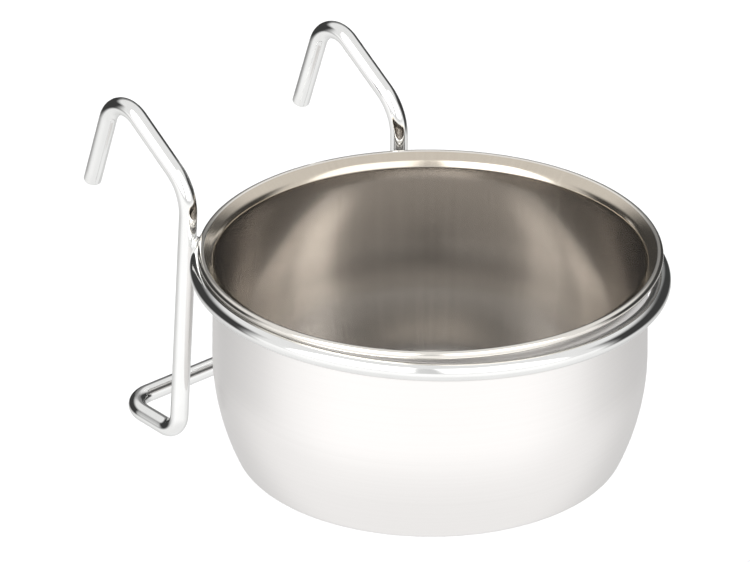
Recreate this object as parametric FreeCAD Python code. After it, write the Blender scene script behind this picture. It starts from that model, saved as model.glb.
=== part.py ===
"""Hook-on cup: a steel cup held by its lip in a wire ring with a bent wire hanger.

Millimetres, +Z up. The origin is the centre of the cup's flat base, the hooks are
at +Y, and the legs stand either side of the YZ plane.
"""
import FreeCAD, Part
import math
import os
from FreeCAD import Vector

# ---- cup ----
cup_height = 45.8           # base to the top of the rolled lip
sheet = 0.7                 # wall and floor thickness
wall_radius = 44.8          # outside, at the widest part of the wall
wall_taper = 0.4            # how much the wall draws in again below the lip
flank_radius = 52.4         # outside curve from the wall down to the base corner
flank_steepness = 66.4      # angle above level where the flank leaves the base corner
base_corner = 2.0           # outside radius round the edge of the base
lip_bend = 1.95             # outside radius where the wall turns out into the lip
lip_slope = 35.0            # how steeply the lip still rises outwards
lip_flat = 0.8              # straight stretch of the lip, from the bend to the bead
bead_radius = 0.85          # rolled edge

# ---- wire, for the ring and the hanger ----
wire_diameter = 3.8
end_rounding = 0.5          # softened edge of the cut ends

# ---- holder ring ----
ring_clearance = 0.6        # all round between the ring and the widest part of the wall
ring_lean = 2.0             # the ring is welded on a little lower on the right
seat_gap = 0.1              # between the lip's bead and the ring's high side

# ---- hanger, measured along the middle of the wire to its bend points ----
leg_half_span = 29.8        # from the middle plane to a leg, level with the ring
leg_splay = 2.1             # each leg runs outwards going down
leg_slant = 2.5             # and backwards going down
kink_rise = 12.7            # from the ring up to the kink at the top of a leg
foot_depth = 3.4            # from the cup's base down to the foot
arm_reach = 22.7            # slanting arm, backwards to the top of the hook
arm_rise = 16.1             # and upwards
tip_reach = 8.8             # hook's tip, backwards from the top of the hook
tip_drop = 24.5             # and downwards
foot_reach = 17.2           # foot, backwards to the crossbar
foot_rise = 0.85
hook_bend = 6.5             # bend radii, to the middle of the wire
kink_bend = 10.5
foot_bend = 4.5
crossbar_bend = 6.0

# ---- welds between the ring and the legs ----
weld_gap = 0.12             # between the two wires at each weld
weld_radius = 1.7

# ---- worked out from the values above ----
wire_radius = wire_diameter / 2
ring_radius = wall_radius + ring_clearance + wire_radius
lean = math.radians(ring_lean)
top_wall_radius = wall_radius - wall_taper
bead_overlap = math.sqrt(bead_radius ** 2 - (bead_radius - sheet) ** 2)
lip_run = bead_overlap + lip_flat


def polar(centre, radius, degrees):
    """Point on a circle in the RZ plane, from its centre."""
    angle = math.radians(degrees)
    return Vector(centre.x + radius * math.cos(angle), 0, centre.z + radius * math.sin(angle))


def arc(centre, radius, start, end):
    """Arc edge in the RZ plane, between two angles in degrees."""
    middle = (start + end) / 2
    return Part.Arc(polar(centre, radius, start), polar(centre, radius, middle),
                    polar(centre, radius, end)).toShape()


def line(start, end):
    return Part.LineSegment(start, end).toShape()


# The lip: from the wall it bends out about bend_centre, runs on at lip_slope and
# ends in a bead whose crest is the top of the cup.
lip_turn = 90 + lip_slope
bend_x = top_wall_radius + lip_bend
slope = math.radians(lip_slope)
lip_level = (lip_bend + sheet - bead_radius) * math.cos(slope) + lip_run * math.sin(slope)
bend_centre = Vector(bend_x, 0, cup_height - bead_radius - lip_level)
along_lip = Vector(math.cos(slope), 0, math.sin(slope))
across_lip = Vector(-math.sin(slope), 0, math.cos(slope))
bead_centre = (bend_centre + across_lip * (lip_bend + sheet - bead_radius)
               + along_lip * lip_run)

# The base corner and the flank above it, on the cup's outside.
corner_turn = flank_steepness - 90
flank_centre_x = wall_radius - flank_radius
corner_reach = (flank_radius - base_corner) * math.cos(math.radians(corner_turn))
corner_centre = Vector(flank_centre_x + corner_reach, 0, base_corner)
flank_drop = (flank_radius - base_corner) * math.sin(math.radians(corner_turn))
flank_centre = Vector(flank_centre_x, 0, base_corner - flank_drop)


def make_cup():
    """One sheet of even thickness: its outline turned about the Z axis."""
    inner_corner = base_corner - sheet
    wall_foot = Vector(wall_radius, 0, flank_centre.z)
    inner_foot = Vector(wall_radius - sheet, 0, flank_centre.z)
    wall_head = Vector(top_wall_radius, 0, bend_centre.z)
    inner_head = Vector(top_wall_radius - sheet, 0, bend_centre.z)
    lip_top = bend_centre + across_lip * (lip_bend + sheet)
    lip_under = bend_centre + across_lip * lip_bend
    bead_top = bead_centre + across_lip * bead_radius
    bead_root = lip_under + along_lip * lip_flat
    root_angle = 180 + lip_slope - math.degrees(math.asin((bead_radius - sheet) / bead_radius))

    outline = Part.Wire([
        line(Vector(0, 0, 0), polar(corner_centre, base_corner, -90)),
        arc(corner_centre, base_corner, -90, corner_turn),
        arc(flank_centre, flank_radius, corner_turn, 0),
        line(wall_foot, wall_head),
        arc(bend_centre, lip_bend, 180, lip_turn),
        line(lip_under, bead_root),
        arc(bead_centre, bead_radius, root_angle, lip_turn + 360),
        line(bead_top, lip_top),
        arc(bend_centre, lip_bend + sheet, lip_turn, 180),
        line(inner_head, inner_foot),
        arc(flank_centre, flank_radius - sheet, 0, corner_turn),
        arc(corner_centre, inner_corner, corner_turn, -90),
        line(polar(corner_centre, inner_corner, -90), Vector(0, 0, sheet)),
        line(Vector(0, 0, sheet), Vector(0, 0, 0)),
    ])
    return Part.Face(outline).revolve(Vector(0, 0, 0), Vector(0, 0, 1), 360)


# The ring hangs so that its high side meets the bead from below.
seat_reach = wire_radius + bead_radius + seat_gap
seat_offset = ring_radius * math.cos(lean) - bead_centre.x
seat_height = math.sqrt(seat_reach ** 2 - seat_offset ** 2)
ring_height = bead_centre.z - seat_height - ring_radius * math.sin(lean)


def make_ring():
    ring = Part.makeTorus(ring_radius, wire_radius)
    ring.rotate(Vector(0, 0, 0), Vector(0, 1, 0), ring_lean)
    ring.translate(Vector(0, 0, ring_height))
    return ring


# The legs pass outside the ring with the weld gap between the two wires.
leg_distance = ring_radius + wire_diameter + weld_gap
leg_at_ring = Vector(leg_half_span, math.sqrt(leg_distance ** 2 - leg_half_span ** 2), ring_height)
leg_down = Vector(math.tan(math.radians(leg_splay)), math.tan(math.radians(leg_slant)), -1)


def hanger_points():
    """Bend points of the right half, from the hook's tip to the crossbar."""
    kink = leg_at_ring - leg_down * kink_rise
    hook_top = kink + Vector(0, arm_reach, arm_rise)
    tip = hook_top + Vector(0, tip_reach, -tip_drop)
    foot = leg_at_ring + leg_down * (ring_height + foot_depth)
    heel = foot + Vector(0, foot_reach, foot_rise)
    return [tip, hook_top, kink, foot, heel]


def mirrored(point):
    return Vector(-point.x, point.y, point.z)


def bent_path(points, radii):
    """Straight runs through the points, joined by arcs of the given radii."""
    edges = []
    run_start = points[0]
    for before, corner, after, radius in zip(points, points[1:], points[2:], radii):
        back = (before - corner).normalize()
        ahead = (after - corner).normalize()
        half = back.getAngle(ahead) / 2
        reach = radius / math.tan(half)
        inward = (back + ahead).normalize()
        depth = radius / math.sin(half) - radius
        arc_start = corner + back * reach
        arc_end = corner + ahead * reach
        edges.append(line(run_start, arc_start))
        edges.append(Part.Arc(arc_start, corner + inward * depth, arc_end).toShape())
        run_start = arc_end
    edges.append(line(run_start, points[-1]))
    return Part.Wire(edges)


def is_end(edge, tip):
    """True for the edge round the cut end at a tip of the wire."""
    return edge.isClosed() and (edge.CenterOfMass - tip).Length < end_rounding


def make_hanger():
    """One length of wire: hook, leg and foot on each side, and the crossbar."""
    half = hanger_points()
    points = half + [mirrored(point) for point in reversed(half)]
    half_radii = [hook_bend, kink_bend, foot_bend, crossbar_bend]
    path = bent_path(points, half_radii + half_radii[::-1])
    start = (points[1] - points[0]).normalize()
    section = Part.Wire(Part.makeCircle(wire_radius, points[0], start))
    wire = path.makePipeShell([section], True, False)
    ends = [edge for edge in wire.Edges if is_end(edge, points[0]) or is_end(edge, points[-1])]
    return wire.makeFillet(end_rounding, ends)


def make_weld(side, ring, hanger):
    """Squeezed metal round the place where a leg (side -1 or 1) meets the ring."""
    leg = Vector(side * leg_at_ring.x, leg_at_ring.y, 0)
    toward_leg = leg.normalize()
    ring_point = Vector(toward_leg.x * ring_radius, toward_leg.y * ring_radius, 0)
    turn = FreeCAD.Rotation(Vector(0, 1, 0), ring_lean)
    contact = turn.multVec(ring_point) + Vector(0, 0, ring_height)
    contact = contact + toward_leg * (wire_radius + weld_gap / 2)
    nugget = Part.makeSphere(weld_radius, contact)
    return nugget.cut(ring).cut(hanger)


ring = make_ring()
hanger = make_hanger()
nodes = {
    "cup": make_cup(),
    "holder_ring": ring,
    "hanger_wire": hanger,
    "ring_weld_left": make_weld(-1, ring, hanger),
    "ring_weld_right": make_weld(1, ring, hanger),
}

os.makedirs("parts", exist_ok=True)
for name, shape in nodes.items():
    box = shape.optimalBoundingBox()
    print(f"{name}: {len(shape.Solids)} solid, valid {shape.isValid()}, volume {shape.Volume:.1f}, "
          f"x {box.XMin:.2f}..{box.XMax:.2f}, y {box.YMin:.2f}..{box.YMax:.2f}, "
          f"z {box.ZMin:.2f}..{box.ZMax:.2f}")
    shape.exportStep(f"parts/{name}.step")
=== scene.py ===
import math
import bpy
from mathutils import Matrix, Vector


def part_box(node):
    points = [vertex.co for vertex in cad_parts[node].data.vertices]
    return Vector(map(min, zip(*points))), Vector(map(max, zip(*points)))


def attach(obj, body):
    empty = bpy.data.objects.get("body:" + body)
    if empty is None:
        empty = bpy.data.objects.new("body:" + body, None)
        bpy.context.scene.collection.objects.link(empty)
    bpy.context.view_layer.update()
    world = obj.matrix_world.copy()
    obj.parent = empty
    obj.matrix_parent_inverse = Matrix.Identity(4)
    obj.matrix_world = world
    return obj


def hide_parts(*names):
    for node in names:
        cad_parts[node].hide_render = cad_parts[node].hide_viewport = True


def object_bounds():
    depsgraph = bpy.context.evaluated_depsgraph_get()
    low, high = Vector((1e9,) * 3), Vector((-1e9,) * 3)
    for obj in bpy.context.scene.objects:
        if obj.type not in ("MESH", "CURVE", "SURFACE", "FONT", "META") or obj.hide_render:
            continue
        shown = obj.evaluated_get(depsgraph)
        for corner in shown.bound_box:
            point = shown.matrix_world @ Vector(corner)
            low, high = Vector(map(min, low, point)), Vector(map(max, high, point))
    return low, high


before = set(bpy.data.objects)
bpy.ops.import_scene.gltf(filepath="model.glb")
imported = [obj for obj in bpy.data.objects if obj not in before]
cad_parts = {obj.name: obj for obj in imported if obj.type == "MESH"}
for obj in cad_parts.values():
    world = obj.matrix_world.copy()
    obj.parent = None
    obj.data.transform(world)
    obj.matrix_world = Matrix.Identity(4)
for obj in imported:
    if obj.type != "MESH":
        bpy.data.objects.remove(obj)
cadLow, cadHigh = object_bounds()
print("frame loaded:", sorted(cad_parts))

cupLow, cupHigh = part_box("cup")
ringLow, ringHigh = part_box("holder_ring")
mergeDistance = 0.000002        # points closer than this are one
smoothAngle = math.radians(50)  # edges sharper than this stay sharp


def deselectAll():
    bpy.ops.object.select_all(action="DESELECT")


def selectOnly(piece):
    deselectAll()
    piece.select_set(True)
    bpy.context.view_layer.objects.active = piece


def applyPlace(piece):
    selectOnly(piece)
    bpy.ops.object.transform_apply(location=True, rotation=True, scale=True)


def roundPoints(centre, radius, start, end, steps):
    # points on an arc in the XZ plane, start angle left out, end angle kept
    angles = [math.radians(start + (end - start) * i / steps) for i in range(1, steps + 1)]
    return [Vector((centre.x + radius * math.cos(a), 0, centre.z + radius * math.sin(a))) for a in angles]


def runPoints(start, end, steps):
    return [start.lerp(end, i / steps) for i in range(1, steps + 1)]


def startLoop(name, radius, sides, place, facing):
    # an open ring of edges, left selected in edit mode
    deselectAll()
    turn = facing.to_track_quat("Z", "Y").to_euler()
    bpy.ops.mesh.primitive_circle_add(vertices=sides, radius=radius, location=place, rotation=turn)
    piece = bpy.context.object
    piece.name = name
    applyPlace(piece)
    bpy.ops.object.mode_set(mode="EDIT")
    bpy.ops.mesh.select_all(action="SELECT")
    return piece


def pushLoop(step):
    bpy.ops.mesh.extrude_region_move(TRANSFORM_OT_translate={"value": step})


def pushRun(whole, steps):
    for i in range(steps):
        pushLoop(whole / steps)


def closeUp(piece):
    bpy.ops.mesh.select_all(action="SELECT")
    bpy.ops.mesh.remove_doubles(threshold=mergeDistance)
    bpy.ops.mesh.normals_make_consistent(inside=False)
    bpy.ops.object.mode_set(mode="OBJECT")
    selectOnly(piece)
    bpy.ops.object.shade_smooth_by_angle(angle=smoothAngle)


cupShape = {
    "sheet": 0.0007,            # wall and floor thickness
    "wallTaper": 0.0004,        # how much the wall draws in below the lip
    "flankRadius": 0.0524,      # curve from the wall down to the base corner
    "flankSteepness": 66.4,     # degrees above level at the base corner
    "baseCorner": 0.0020,
    "lipBend": 0.00195,
    "lipSlope": 35.0,           # degrees, how steeply the lip rises outwards
    "lipFlat": 0.0008,          # straight part of the lip, up to the bead
    "bead": 0.00085,            # rolled edge's radius
    "turns": 256,               # faces round the cup
    "baseSteps": 6,             # faces along each part of the section
    "outerCornerSteps": 10,
    "innerCornerSteps": 8,
    "flankSteps": 14,
    "wallSteps": 8,
    "outerBendSteps": 8,
    "innerBendSteps": 10,
    "beadSteps": 24,
    "lipSteps": 2,
}


def cupOutline():
    # the sheet's section, from the middle of the base outside to the middle of the floor inside
    s = cupShape
    sheet, bead, lipBend = s["sheet"], s["bead"], s["lipBend"]
    slope = math.radians(s["lipSlope"])
    lipTurn = 90 + s["lipSlope"]
    alongLip = Vector((math.cos(slope), 0, math.sin(slope)))
    acrossLip = Vector((-math.sin(slope), 0, math.cos(slope)))
    rootDrop = math.asin((bead - sheet) / bead)
    lipRun = bead * math.cos(rootDrop) + s["lipFlat"]
    beadOffset = acrossLip * (lipBend + sheet - bead) + alongLip * lipRun
    beadCentre = Vector((cupHigh.x - bead, 0, cupHigh.z - bead))
    bendCentre = beadCentre - beadOffset
    headRadius = bendCentre.x - lipBend
    wallRadius = headRadius + s["wallTaper"]
    footTurn = s["flankSteepness"] - 90
    flank = s["flankRadius"]
    corner = s["baseCorner"]
    reach = flank - corner
    footAngle = math.radians(footTurn)
    flankCentre = Vector((wallRadius - flank, 0, corner - reach * math.sin(footAngle)))
    cornerCentre = Vector((flankCentre.x + reach * math.cos(footAngle), 0, corner))

    outside = [Vector((0, 0, 0))]
    outside += runPoints(outside[-1], Vector((cornerCentre.x, 0, 0)), s["baseSteps"])
    outside += roundPoints(cornerCentre, corner, -90, footTurn, s["outerCornerSteps"])
    outside += roundPoints(flankCentre, flank, footTurn, 0, s["flankSteps"])
    outside += runPoints(outside[-1], Vector((headRadius, 0, bendCentre.z)), s["wallSteps"])
    outside += roundPoints(bendCentre, lipBend, 180, lipTurn, s["outerBendSteps"])
    rootAngle = lipTurn + 90 - math.degrees(rootDrop)
    outside += roundPoints(beadCentre, bead, rootAngle, lipTurn + 360, s["beadSteps"])
    lipTop = bendCentre + acrossLip * (lipBend + sheet)
    inside = runPoints(outside[-1], lipTop, s["lipSteps"])
    inside += roundPoints(bendCentre, lipBend + sheet, lipTurn, 180, s["innerBendSteps"])
    inside += runPoints(inside[-1], Vector((wallRadius - sheet, 0, flankCentre.z)), s["wallSteps"])
    inside += roundPoints(flankCentre, flank - sheet, 0, footTurn, s["flankSteps"])
    inside += roundPoints(cornerCentre, corner - sheet, footTurn, -90, s["innerCornerSteps"])
    inside += runPoints(inside[-1], Vector((0, 0, sheet)), s["baseSteps"])
    return outside + inside, beadCentre


def makeCup():
    outline, beadCentre = cupOutline()
    deselectAll()
    bpy.ops.mesh.primitive_plane_add(size=cupShape["sheet"], location=outline[0])
    cup = bpy.context.object
    cup.name = "feeding_cup"
    applyPlace(cup)
    bpy.ops.object.mode_set(mode="EDIT")
    bpy.ops.mesh.select_all(action="SELECT")
    bpy.ops.mesh.merge(type="CENTER")
    for here, there in zip(outline, outline[1:]):
        pushLoop(there - here)
    bpy.ops.mesh.select_all(action="SELECT")
    bpy.ops.mesh.spin(steps=cupShape["turns"], angle=math.tau, center=(0, 0, 0), axis=(0, 0, 1))
    closeUp(cup)
    return cup, beadCentre


cup, beadCentre = makeCup()
print("cup made:", len(cup.data.polygons), "faces")


wireShape = {
    "radius": 0.0019,
    "sides": 48,
    "endRounding": 0.0005,      # softened edge of the cut ends
    "endSteps": 6,
    "bendSteps": 24,
    "runSteps": 6,              # faces along a straight stretch
    "crossbarSteps": 8,
    "weldGap": 0.00012,         # between ring and leg
    "legHalfSpan": 0.0298,      # from the middle to a leg, level with the ring
    "legSplay": 2.1,            # degrees outwards, going down
    "legSlant": 2.5,            # degrees backwards, going down
    "kinkRise": 0.0127,         # from the ring up to the top of the leg
    "footDepth": 0.0034,        # below the cup's base
    "armReach": 0.0227,         # slanting arm, back and up to the hook's top
    "armRise": 0.0161,
    "tipReach": 0.0088,         # hook's tip, back and down
    "tipDrop": 0.0245,
    "footReach": 0.0172,        # foot, back and up to the crossbar
    "footRise": 0.00085,
    "hookBend": 0.0065,         # bend radii, to the middle of the wire
    "kinkBend": 0.0105,
    "footBend": 0.0045,
    "crossbarBend": 0.0060,
    "mirrorMerge": 0.00001,
}

ringShape = {
    "turns": 288,               # faces round the ring
    "lean": 2.0,                # degrees, down at the right
}

ringHeight = (ringLow.z + ringHigh.z) / 2
ringRadius = ringHigh.y - wireShape["radius"]


def makeRing():
    ring = startLoop("holder_ring_wire", wireShape["radius"], wireShape["sides"],
                     Vector((ringRadius, 0, 0)), Vector((0, 1, 0)))
    bpy.ops.mesh.spin(steps=ringShape["turns"], angle=math.tau, center=(0, 0, 0), axis=(0, 0, 1))
    closeUp(ring)
    ring.rotation_euler = (0, math.radians(ringShape["lean"]), 0)
    ring.location.z = ringHeight
    applyPlace(ring)
    return ring


def hangerPoints():
    # bend points of the right half, from the hook's tip to the crossbar's middle
    w = wireShape
    legDistance = ringRadius + 2 * w["radius"] + w["weldGap"]
    legBack = math.sqrt(legDistance ** 2 - w["legHalfSpan"] ** 2)
    atRing = Vector((w["legHalfSpan"], legBack, ringHeight))
    down = Vector((math.tan(math.radians(w["legSplay"])), math.tan(math.radians(w["legSlant"])), -1))
    kink = atRing - down * w["kinkRise"]
    hookTop = kink + Vector((0, w["armReach"], w["armRise"]))
    tip = hookTop + Vector((0, w["tipReach"], -w["tipDrop"]))
    foot = atRing + down * (ringHeight + w["footDepth"])
    heel = foot + Vector((0, w["footReach"], w["footRise"]))
    middle = Vector((0, heel.y, heel.z))
    return [tip, hookTop, kink, foot, heel, middle]


def makeHanger():
    w = wireShape
    points = hangerPoints()
    bends = [w["hookBend"], w["kinkBend"], w["footBend"], w["crossbarBend"]]
    along = (points[1] - points[0]).normalized()
    small = w["radius"] - w["endRounding"]
    wire = startLoop("hanger", small, w["sides"], points[0], along)
    here, width, depth = points[0].copy(), small, 0.0
    for i in range(1, w["endSteps"] + 1):
        turn = math.pi / 2 * i / w["endSteps"]
        newDepth = w["endRounding"] * (1 - math.cos(turn))
        newWidth = small + w["endRounding"] * math.sin(turn)
        step = along * (newDepth - depth)
        pushLoop(step)
        here = here + step
        grow = newWidth / width
        bpy.ops.transform.resize(value=(grow, grow, grow), center_override=here)
        width, depth = newWidth, newDepth
    for before, corner, after, radius in zip(points, points[1:], points[2:], bends):
        back = (before - corner).normalized()
        ahead = (after - corner).normalized()
        half = back.angle(ahead) / 2
        bendStart = corner + back * radius / math.tan(half)
        bendCentre = corner + (back + ahead).normalized() * radius / math.sin(half)
        pushRun(bendStart - here, w["runSteps"])
        axis = ahead.cross(-back).normalized()      # spin turns left-handed
        bpy.ops.mesh.spin(steps=w["bendSteps"], angle=math.pi - 2 * half, center=bendCentre, axis=axis)
        here = corner + ahead * radius / math.tan(half)
    pushRun(points[-1] - here, w["crossbarSteps"])
    bpy.ops.object.mode_set(mode="OBJECT")
    selectOnly(wire)
    mirror = wire.modifiers.new("otherHalf", "MIRROR")
    mirror.use_clip = True
    mirror.merge_threshold = w["mirrorMerge"]
    bpy.ops.object.modifier_apply(modifier=mirror.name)
    bpy.ops.object.mode_set(mode="EDIT")
    bpy.ops.mesh.select_all(action="SELECT")
    bpy.ops.mesh.fill_holes(sides=0)
    closeUp(wire)
    return wire


ring = makeRing()
hanger = makeHanger()
print("wire made:", len(ring.data.polygons), len(hanger.data.polygons), "faces")


weldShape = {
    "rings": 20,
    "segments": 28,
    "lump": 0.00022,            # how uneven the melted bead is
    "soften": 0.6,
    "softenRounds": 2,
}


def makeWeld(name, node, seed):
    low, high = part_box(node)
    deselectAll()
    bpy.ops.mesh.primitive_uv_sphere_add(segments=weldShape["segments"], ring_count=weldShape["rings"],
                                         radius=0.5, location=(low + high) / 2, scale=high - low)
    weld = bpy.context.object
    weld.name = name
    applyPlace(weld)
    bpy.ops.object.mode_set(mode="EDIT")
    bpy.ops.mesh.select_all(action="SELECT")
    bpy.ops.transform.vertex_random(offset=weldShape["lump"], seed=seed)
    bpy.ops.mesh.vertices_smooth(factor=weldShape["soften"], repeat=weldShape["softenRounds"])
    closeUp(weld)
    return weld


weldLeft = makeWeld("weld_left", "ring_weld_left", 3)
weldRight = makeWeld("weld_right", "ring_weld_right", 8)
print("welds made")


def newMaterial(name):
    material = bpy.data.materials.new(name)
    material.use_nodes = True
    nodes, links = material.node_tree.nodes, material.node_tree.links
    return material, nodes, links, nodes["Principled BSDF"]


def noiseFrom(nodes, links, vector, scale, detail):
    noise = nodes.new("ShaderNodeTexNoise")
    noise.inputs["Scale"].default_value = scale
    noise.inputs["Detail"].default_value = detail
    links.new(vector, noise.inputs["Vector"])
    return noise.outputs["Fac"]


def tintFrom(nodes, links, factor, dark, light):
    tint = nodes.new("ShaderNodeValToRGB")
    tint.color_ramp.elements[0].color = dark + (1,)
    tint.color_ramp.elements[1].color = light + (1,)
    links.new(factor, tint.inputs["Fac"])
    return tint.outputs["Color"]


def hazeFrom(nodes, links, factor, smooth, rough):
    haze = nodes.new("ShaderNodeMapRange")
    haze.inputs["To Min"].default_value = smooth
    haze.inputs["To Max"].default_value = rough
    links.new(factor, haze.inputs["Value"])
    return haze.outputs["Result"]


def steel(name, look):
    # metal whose tint and roughness both follow one noise, stretched as the look says
    material, nodes, links, shader = newMaterial(name)
    shader.inputs["Metallic"].default_value = 1.0
    coords = nodes.new("ShaderNodeTexCoord")
    stretch = nodes.new("ShaderNodeMapping")
    stretch.inputs["Scale"].default_value = look["stretch"]
    links.new(coords.outputs["Object"], stretch.inputs["Vector"])
    noise = noiseFrom(nodes, links, stretch.outputs["Vector"], look["scale"], look["detail"])
    links.new(tintFrom(nodes, links, noise, look["dark"], look["light"]), shader.inputs["Base Color"])
    links.new(hazeFrom(nodes, links, noise, look["smooth"], look["rough"]), shader.inputs["Roughness"])
    return material


def roundGrain(nodes, links, shader, coords):
    # grain that runs round the cup, so that highlights stretch up and down the wall
    about = nodes.new("ShaderNodeVectorMath")
    about.operation = "CROSS_PRODUCT"
    about.inputs[0].default_value = (0, 0, 1)
    links.new(coords.outputs["Object"], about.inputs[1])
    along = nodes.new("ShaderNodeVectorMath")
    along.operation = "NORMALIZE"
    links.new(about.outputs["Vector"], along.inputs[0])
    links.new(along.outputs["Vector"], shader.inputs["Tangent"])


wireLook = {
    "stretch": (1, 1, 1),
    "scale": 140.0,
    "detail": 4.0,
    "dark": (0.80, 0.80, 0.79),
    "light": (0.90, 0.90, 0.89),
    "smooth": 0.05,
    "rough": 0.11,
}

outsideLook = {
    "stretch": (8, 8, 3500),    # fine lines round the wall
    "scale": 1.0,
    "detail": 6.0,
    "dark": (0.89, 0.87, 0.855),
    "light": (0.94, 0.92, 0.905),
    "smooth": 0.28,
    "rough": 0.33,
}

beadLook = {
    "stretch": (1, 1, 1),
    "scale": 160.0,
    "detail": 5.0,
    "dark": (0.78, 0.745, 0.69),
    "light": (0.87, 0.84, 0.79),
    "smooth": 0.10,
    "rough": 0.16,
}

insideLook = {
    "metal": 0.985,             # the rest is a thin dull film
    "grain": 0.5,
    "scale": 60.0,
    "detail": 8.0,
    "dark": (0.60, 0.570, 0.535),
    "light": (0.67, 0.640, 0.605),
    "unevenness": 0.02,         # roughness either way, streak by streak
    "lowLevel": 0.004,          # duller up to here, and ever smoother up to highLevel
    "highLevel": 0.022,
    "lowRough": 0.24,
    "highRough": 0.145,
    # tint at shares of the cup's height: painted shade, a darker band where the wall curves in, and
    # warmer on the lip
    "floorTint": (0.20, (1, 1, 1)),
    "paintedShadeBand": [
        (0.33, (0.76, 0.76, 0.76)),
        (0.42, (0.76, 0.76, 0.76)),
        (0.56, (1, 1, 1)),
        (0.93, (1, 1, 1)),
    ],
    "lipTint": (0.95, (1.0, 0.945, 0.85)),
}


def heightTint(nodes, links, height):
    share = nodes.new("ShaderNodeMapRange")
    share.inputs["From Max"].default_value = cupHigh.z
    links.new(height, share.inputs["Value"])
    tints = nodes.new("ShaderNodeValToRGB")
    stops = tints.color_ramp.elements
    for stop, (place, tone) in zip(stops, (insideLook["floorTint"], insideLook["lipTint"])):
        stop.position = place
        stop.color = tone + (1,)
    # the middle stops paint a band of shade where the wall curves in
    for place, tone in insideLook["paintedShadeBand"]:
        stops.new(place).color = tone + (1,)
    links.new(share.outputs["Result"], tints.inputs["Fac"])
    return tints.outputs["Color"]


def insideSteel():
    look = insideLook
    material, nodes, links, shader = newMaterial("brushedInside")
    shader.inputs["Metallic"].default_value = look["metal"]
    shader.inputs["Anisotropic"].default_value = look["grain"]
    coords = nodes.new("ShaderNodeTexCoord")
    roundGrain(nodes, links, shader, coords)
    flatten = nodes.new("ShaderNodeMapping")
    flatten.inputs["Scale"].default_value = (1, 1, 0)
    links.new(coords.outputs["Object"], flatten.inputs["Vector"])
    around = nodes.new("ShaderNodeVectorMath")
    around.operation = "NORMALIZE"
    links.new(flatten.outputs["Vector"], around.inputs[0])
    streaks = noiseFrom(nodes, links, around.outputs["Vector"], look["scale"], look["detail"])
    parts = nodes.new("ShaderNodeSeparateXYZ")
    links.new(coords.outputs["Object"], parts.inputs["Vector"])
    height = parts.outputs["Z"]
    # streak tone times the height tint, whose middle band is painted shade
    grainAndShade = nodes.new("ShaderNodeVectorMath")
    grainAndShade.operation = "MULTIPLY"
    links.new(tintFrom(nodes, links, streaks, look["dark"], look["light"]), grainAndShade.inputs[0])
    links.new(heightTint(nodes, links, height), grainAndShade.inputs[1])
    links.new(grainAndShade.outputs["Vector"], shader.inputs["Base Color"])
    wear = nodes.new("ShaderNodeMapRange")          # the floor is rougher than the wall
    wear.interpolation_type = "SMOOTHSTEP"
    wear.inputs["From Min"].default_value = look["lowLevel"]
    wear.inputs["From Max"].default_value = look["highLevel"]
    wear.inputs["To Min"].default_value = look["lowRough"]
    wear.inputs["To Max"].default_value = look["highRough"]
    links.new(height, wear.inputs["Value"])
    total = nodes.new("ShaderNodeMath")
    links.new(hazeFrom(nodes, links, streaks, -look["unevenness"], look["unevenness"]), total.inputs[0])
    links.new(wear.outputs["Result"], total.inputs[1])
    links.new(total.outputs["Value"], shader.inputs["Roughness"])
    return material


wireFinish = steel("polishedWire", wireLook)
outsideFinish = steel("satinOutside", outsideLook)
insideFinish = insideSteel()
beadFinish = steel("polishedLip", beadLook)


def paint(piece, *materials):
    piece.data.materials.clear()
    for material in materials:
        piece.data.materials.append(material)


cupFinish = {
    "inward": 0.03,             # a face that turns in this much belongs to the inside
    "upward": 0.5,              # and so does one that turns up this much
    "beadReach": 1.01,          # the bead's finish, in bead radii from the bead's middle
}

paint(cup, outsideFinish, insideFinish, beadFinish)
for face in cup.data.polygons:
    centre = face.center
    outward = Vector((centre.x, centre.y, 0)).normalized()
    facesIn = face.normal.dot(outward) < -cupFinish["inward"] or face.normal.z > cupFinish["upward"]
    fromBead = math.hypot(math.hypot(centre.x, centre.y) - beadCentre.x, centre.z - beadCentre.z)
    if fromBead < cupShape["bead"] * cupFinish["beadReach"]:
        face.material_index = 2
    elif facesIn:
        face.material_index = 1
for piece in (ring, hanger, weldLeft, weldRight):
    paint(piece, wireFinish)
print("materials on")


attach(cup, "cup")
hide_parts("cup")
for piece, node, slot in ((ring, "holder_ring", "wire"), (hanger, "hanger_wire", "wire"),
                          (weldLeft, "ring_weld_left", "weld"), (weldRight, "ring_weld_right", "weld")):
    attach(piece, "holder")
    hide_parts(node)


studio = {
    "azimuth": -43.26,          # degrees round from straight in front
    "elevation": 26.1,
    "distance": 1.0,
    "lens": 235.4,
    "sensor": 36,
    "nearest": 0.01,            # the camera's clipping distances
    "farthest": 50,
    "lipDrop": 0.0005,          # from the cup's top down to the level the camera aims by
    "aimRight": -0.01126,       # the picture's middle, seen from the lip's centre
    "aimUp": -0.00665,
    "floorDrop": 0.10,
    "floorSize": 6.0,
    "floorTone": 0.95,
    "floorRough": 0.9,
}

azimuth = math.radians(studio["azimuth"])
elevation = math.radians(studio["elevation"])
right = Vector((math.cos(azimuth), math.sin(azimuth), 0))
outFront = Vector((math.sin(azimuth), -math.cos(azimuth), 0))
toCamera = outFront * math.cos(elevation) + Vector((0, 0, math.sin(elevation)))
up = toCamera.cross(right)


def makeCamera():
    lipCentre = Vector((0, 0, cupHigh.z - studio["lipDrop"]))
    place = lipCentre + toCamera * studio["distance"]
    aim = lipCentre + right * studio["aimRight"] + up * studio["aimUp"]
    data = bpy.data.cameras.new("camera")
    data.lens = studio["lens"]
    data.sensor_width = studio["sensor"]
    data.clip_start = studio["nearest"]
    data.clip_end = studio["farthest"]
    camera = bpy.data.objects.new("camera", data)
    bpy.context.scene.collection.objects.link(camera)
    camera.location = place
    camera.rotation_euler = (aim - place).to_track_quat("-Z", "Y").to_euler()
    bpy.context.scene.camera = camera


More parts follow.
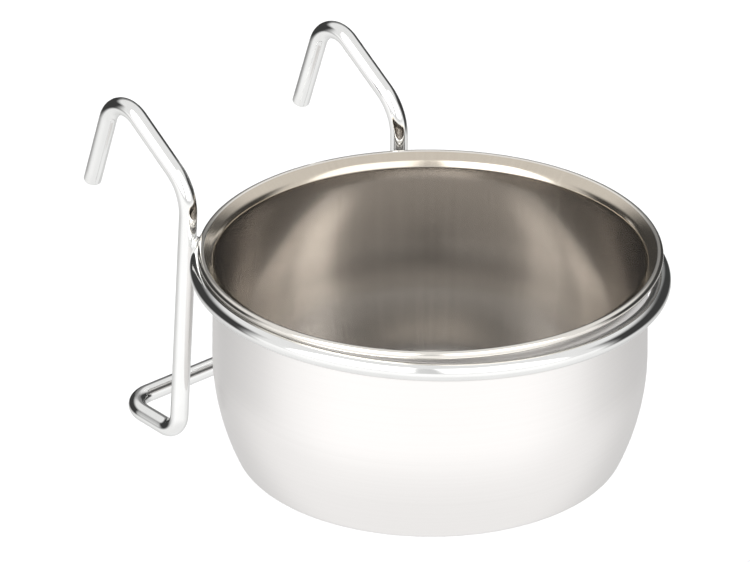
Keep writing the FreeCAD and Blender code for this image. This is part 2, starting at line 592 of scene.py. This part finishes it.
def makeFloor():
    deselectAll()
    floorLevel = cadLow.z - studio["floorDrop"]
    bpy.ops.mesh.primitive_plane_add(size=studio["floorSize"], location=(0, 0, floorLevel))
    floor = bpy.context.object
    floor.name = "floor"
    material, nodes, links, shader = newMaterial("paleFloor")
    shader.inputs["Base Color"].default_value = (studio["floorTone"],) * 3 + (1,)
    shader.inputs["Roughness"].default_value = studio["floorRough"]
    paint(floor, material)
    floor.visible_glossy = False


roomLight = {
    "strength": 1.12,
    "seen": 1.0,                # plain backdrop's brightness
    "under": 0.86,              # straight down, in the feeder's own shade
    "below": 1.06,
    "above": 0.8,
    "underEnd": 0.02,           # where the three meet, from 0 straight down to 1 straight up
    "belowStart": 0.18,
    "belowEnd": 0.47,
    "aboveStart": 0.54,
    # each window: degrees right of straight behind, half width, lower edge and upper edge,
    # softness of the edges, brightness
    "windows": [
        (180, 40, 3, 60, 5, 0.65),          # over the camera
        (-143, 29, 8, 62, 4, 2.85),         # large lamps to both sides of the camera
        (143, 29, 8, 62, 4, 1.9),
        (0, 110, -62, -10, 24, 0.86),       # table, shaded towards the back
        (0, 62, -58, -14, 24, 0.62),
        (0, 90, -20, 31, 9, 0.045),         # dark room behind
        (0, 17, 12, 32, 6, 0.24),           # and a faint light in its middle
    ],
}


def ramp(nodes, links, value, low, high):
    # 0 below low, 1 above high, smooth between
    step = nodes.new("ShaderNodeMapRange")
    step.interpolation_type = "SMOOTHSTEP"
    step.inputs["From Min"].default_value = low
    step.inputs["From Max"].default_value = high
    links.new(value, step.inputs["Value"])
    return step.outputs["Result"]


def combine(nodes, links, operation, first, second):
    maths = nodes.new("ShaderNodeMath")
    maths.operation = operation
    for socket, value in zip(maths.inputs, (first, second)):
        if isinstance(value, (int, float)):
            socket.default_value = value
        else:
            links.new(value, socket)
    return maths.outputs["Value"]


def blendTone(nodes, links, factor, under, level):
    mix = nodes.new("ShaderNodeMix")
    mix.data_type = "RGBA"
    links.new(factor, mix.inputs["Factor"])
    links.new(under, mix.inputs[6])
    mix.inputs[7].default_value = (level, level, level, 1)
    return mix.outputs[2]


def roomWindow(nodes, links, axes, under, turn, halfWidth, low, high, edge, level):
    # a soft-edged rectangle of the room with its own brightness
    swing = nodes.new("ShaderNodeMapping")
    swing.inputs["Rotation"].default_value = (0, 0, math.radians(turn))
    links.new(axes, swing.inputs["Vector"])
    parts = nodes.new("ShaderNodeSeparateXYZ")
    links.new(swing.outputs["Vector"], parts.inputs["Vector"])
    side = combine(nodes, links, "ARCTAN2", parts.outputs["X"], parts.outputs["Y"])
    side = combine(nodes, links, "ABSOLUTE", side, 0)
    rise = combine(nodes, links, "ARCSINE", parts.outputs["Z"], 0)
    soft = math.radians(edge)
    outside = ramp(nodes, links, side, math.radians(halfWidth) - soft, math.radians(halfWidth) + soft)
    within = combine(nodes, links, "SUBTRACT", 1, outside)
    overLow = ramp(nodes, links, rise, math.radians(low) - soft, math.radians(low) + soft)
    overHigh = ramp(nodes, links, rise, math.radians(high) - soft, math.radians(high) + soft)
    band = combine(nodes, links, "SUBTRACT", overLow, overHigh)
    return blendTone(nodes, links, combine(nodes, links, "MULTIPLY", within, band), under, level)


def makeWorld():
    room = roomLight
    world = bpy.data.worlds.new("studio")
    world.use_nodes = True
    nodes, links = world.node_tree.nodes, world.node_tree.links
    coords = nodes.new("ShaderNodeTexCoord")
    turn = nodes.new("ShaderNodeMapping")
    turn.inputs["Rotation"].default_value = (0, 0, -azimuth)
    links.new(coords.outputs["Generated"], turn.inputs["Vector"])
    heading = turn.outputs["Vector"]
    axes = nodes.new("ShaderNodeSeparateXYZ")
    links.new(heading, axes.inputs["Vector"])
    level = nodes.new("ShaderNodeValToRGB")
    stops = level.color_ramp.elements
    stops[0].position = room["underEnd"]
    stops[0].color = (room["under"],) * 3 + (1,)
    stops[1].position = room["aboveStart"]
    stops[1].color = (room["above"],) * 3 + (1,)
    for place in (room["belowStart"], room["belowEnd"]):
        stops.new(place).color = (room["below"],) * 3 + (1,)
    links.new(ramp(nodes, links, axes.outputs["Z"], -1, 1), level.inputs["Fac"])
    tone = level.outputs["Color"]
    for window in room["windows"]:
        tone = roomWindow(nodes, links, heading, tone, *window)
    path = nodes.new("ShaderNodeLightPath")
    tone = blendTone(nodes, links, path.outputs["Is Camera Ray"], tone, room["seen"] / room["strength"])
    links.new(tone, nodes["Background"].inputs["Color"])
    nodes["Background"].inputs["Strength"].default_value = room["strength"]
    bpy.context.scene.world = world


makeCamera()
makeFloor()
makeWorld()
bpy.context.scene.view_settings.view_transform = "Standard"
print("studio ready")
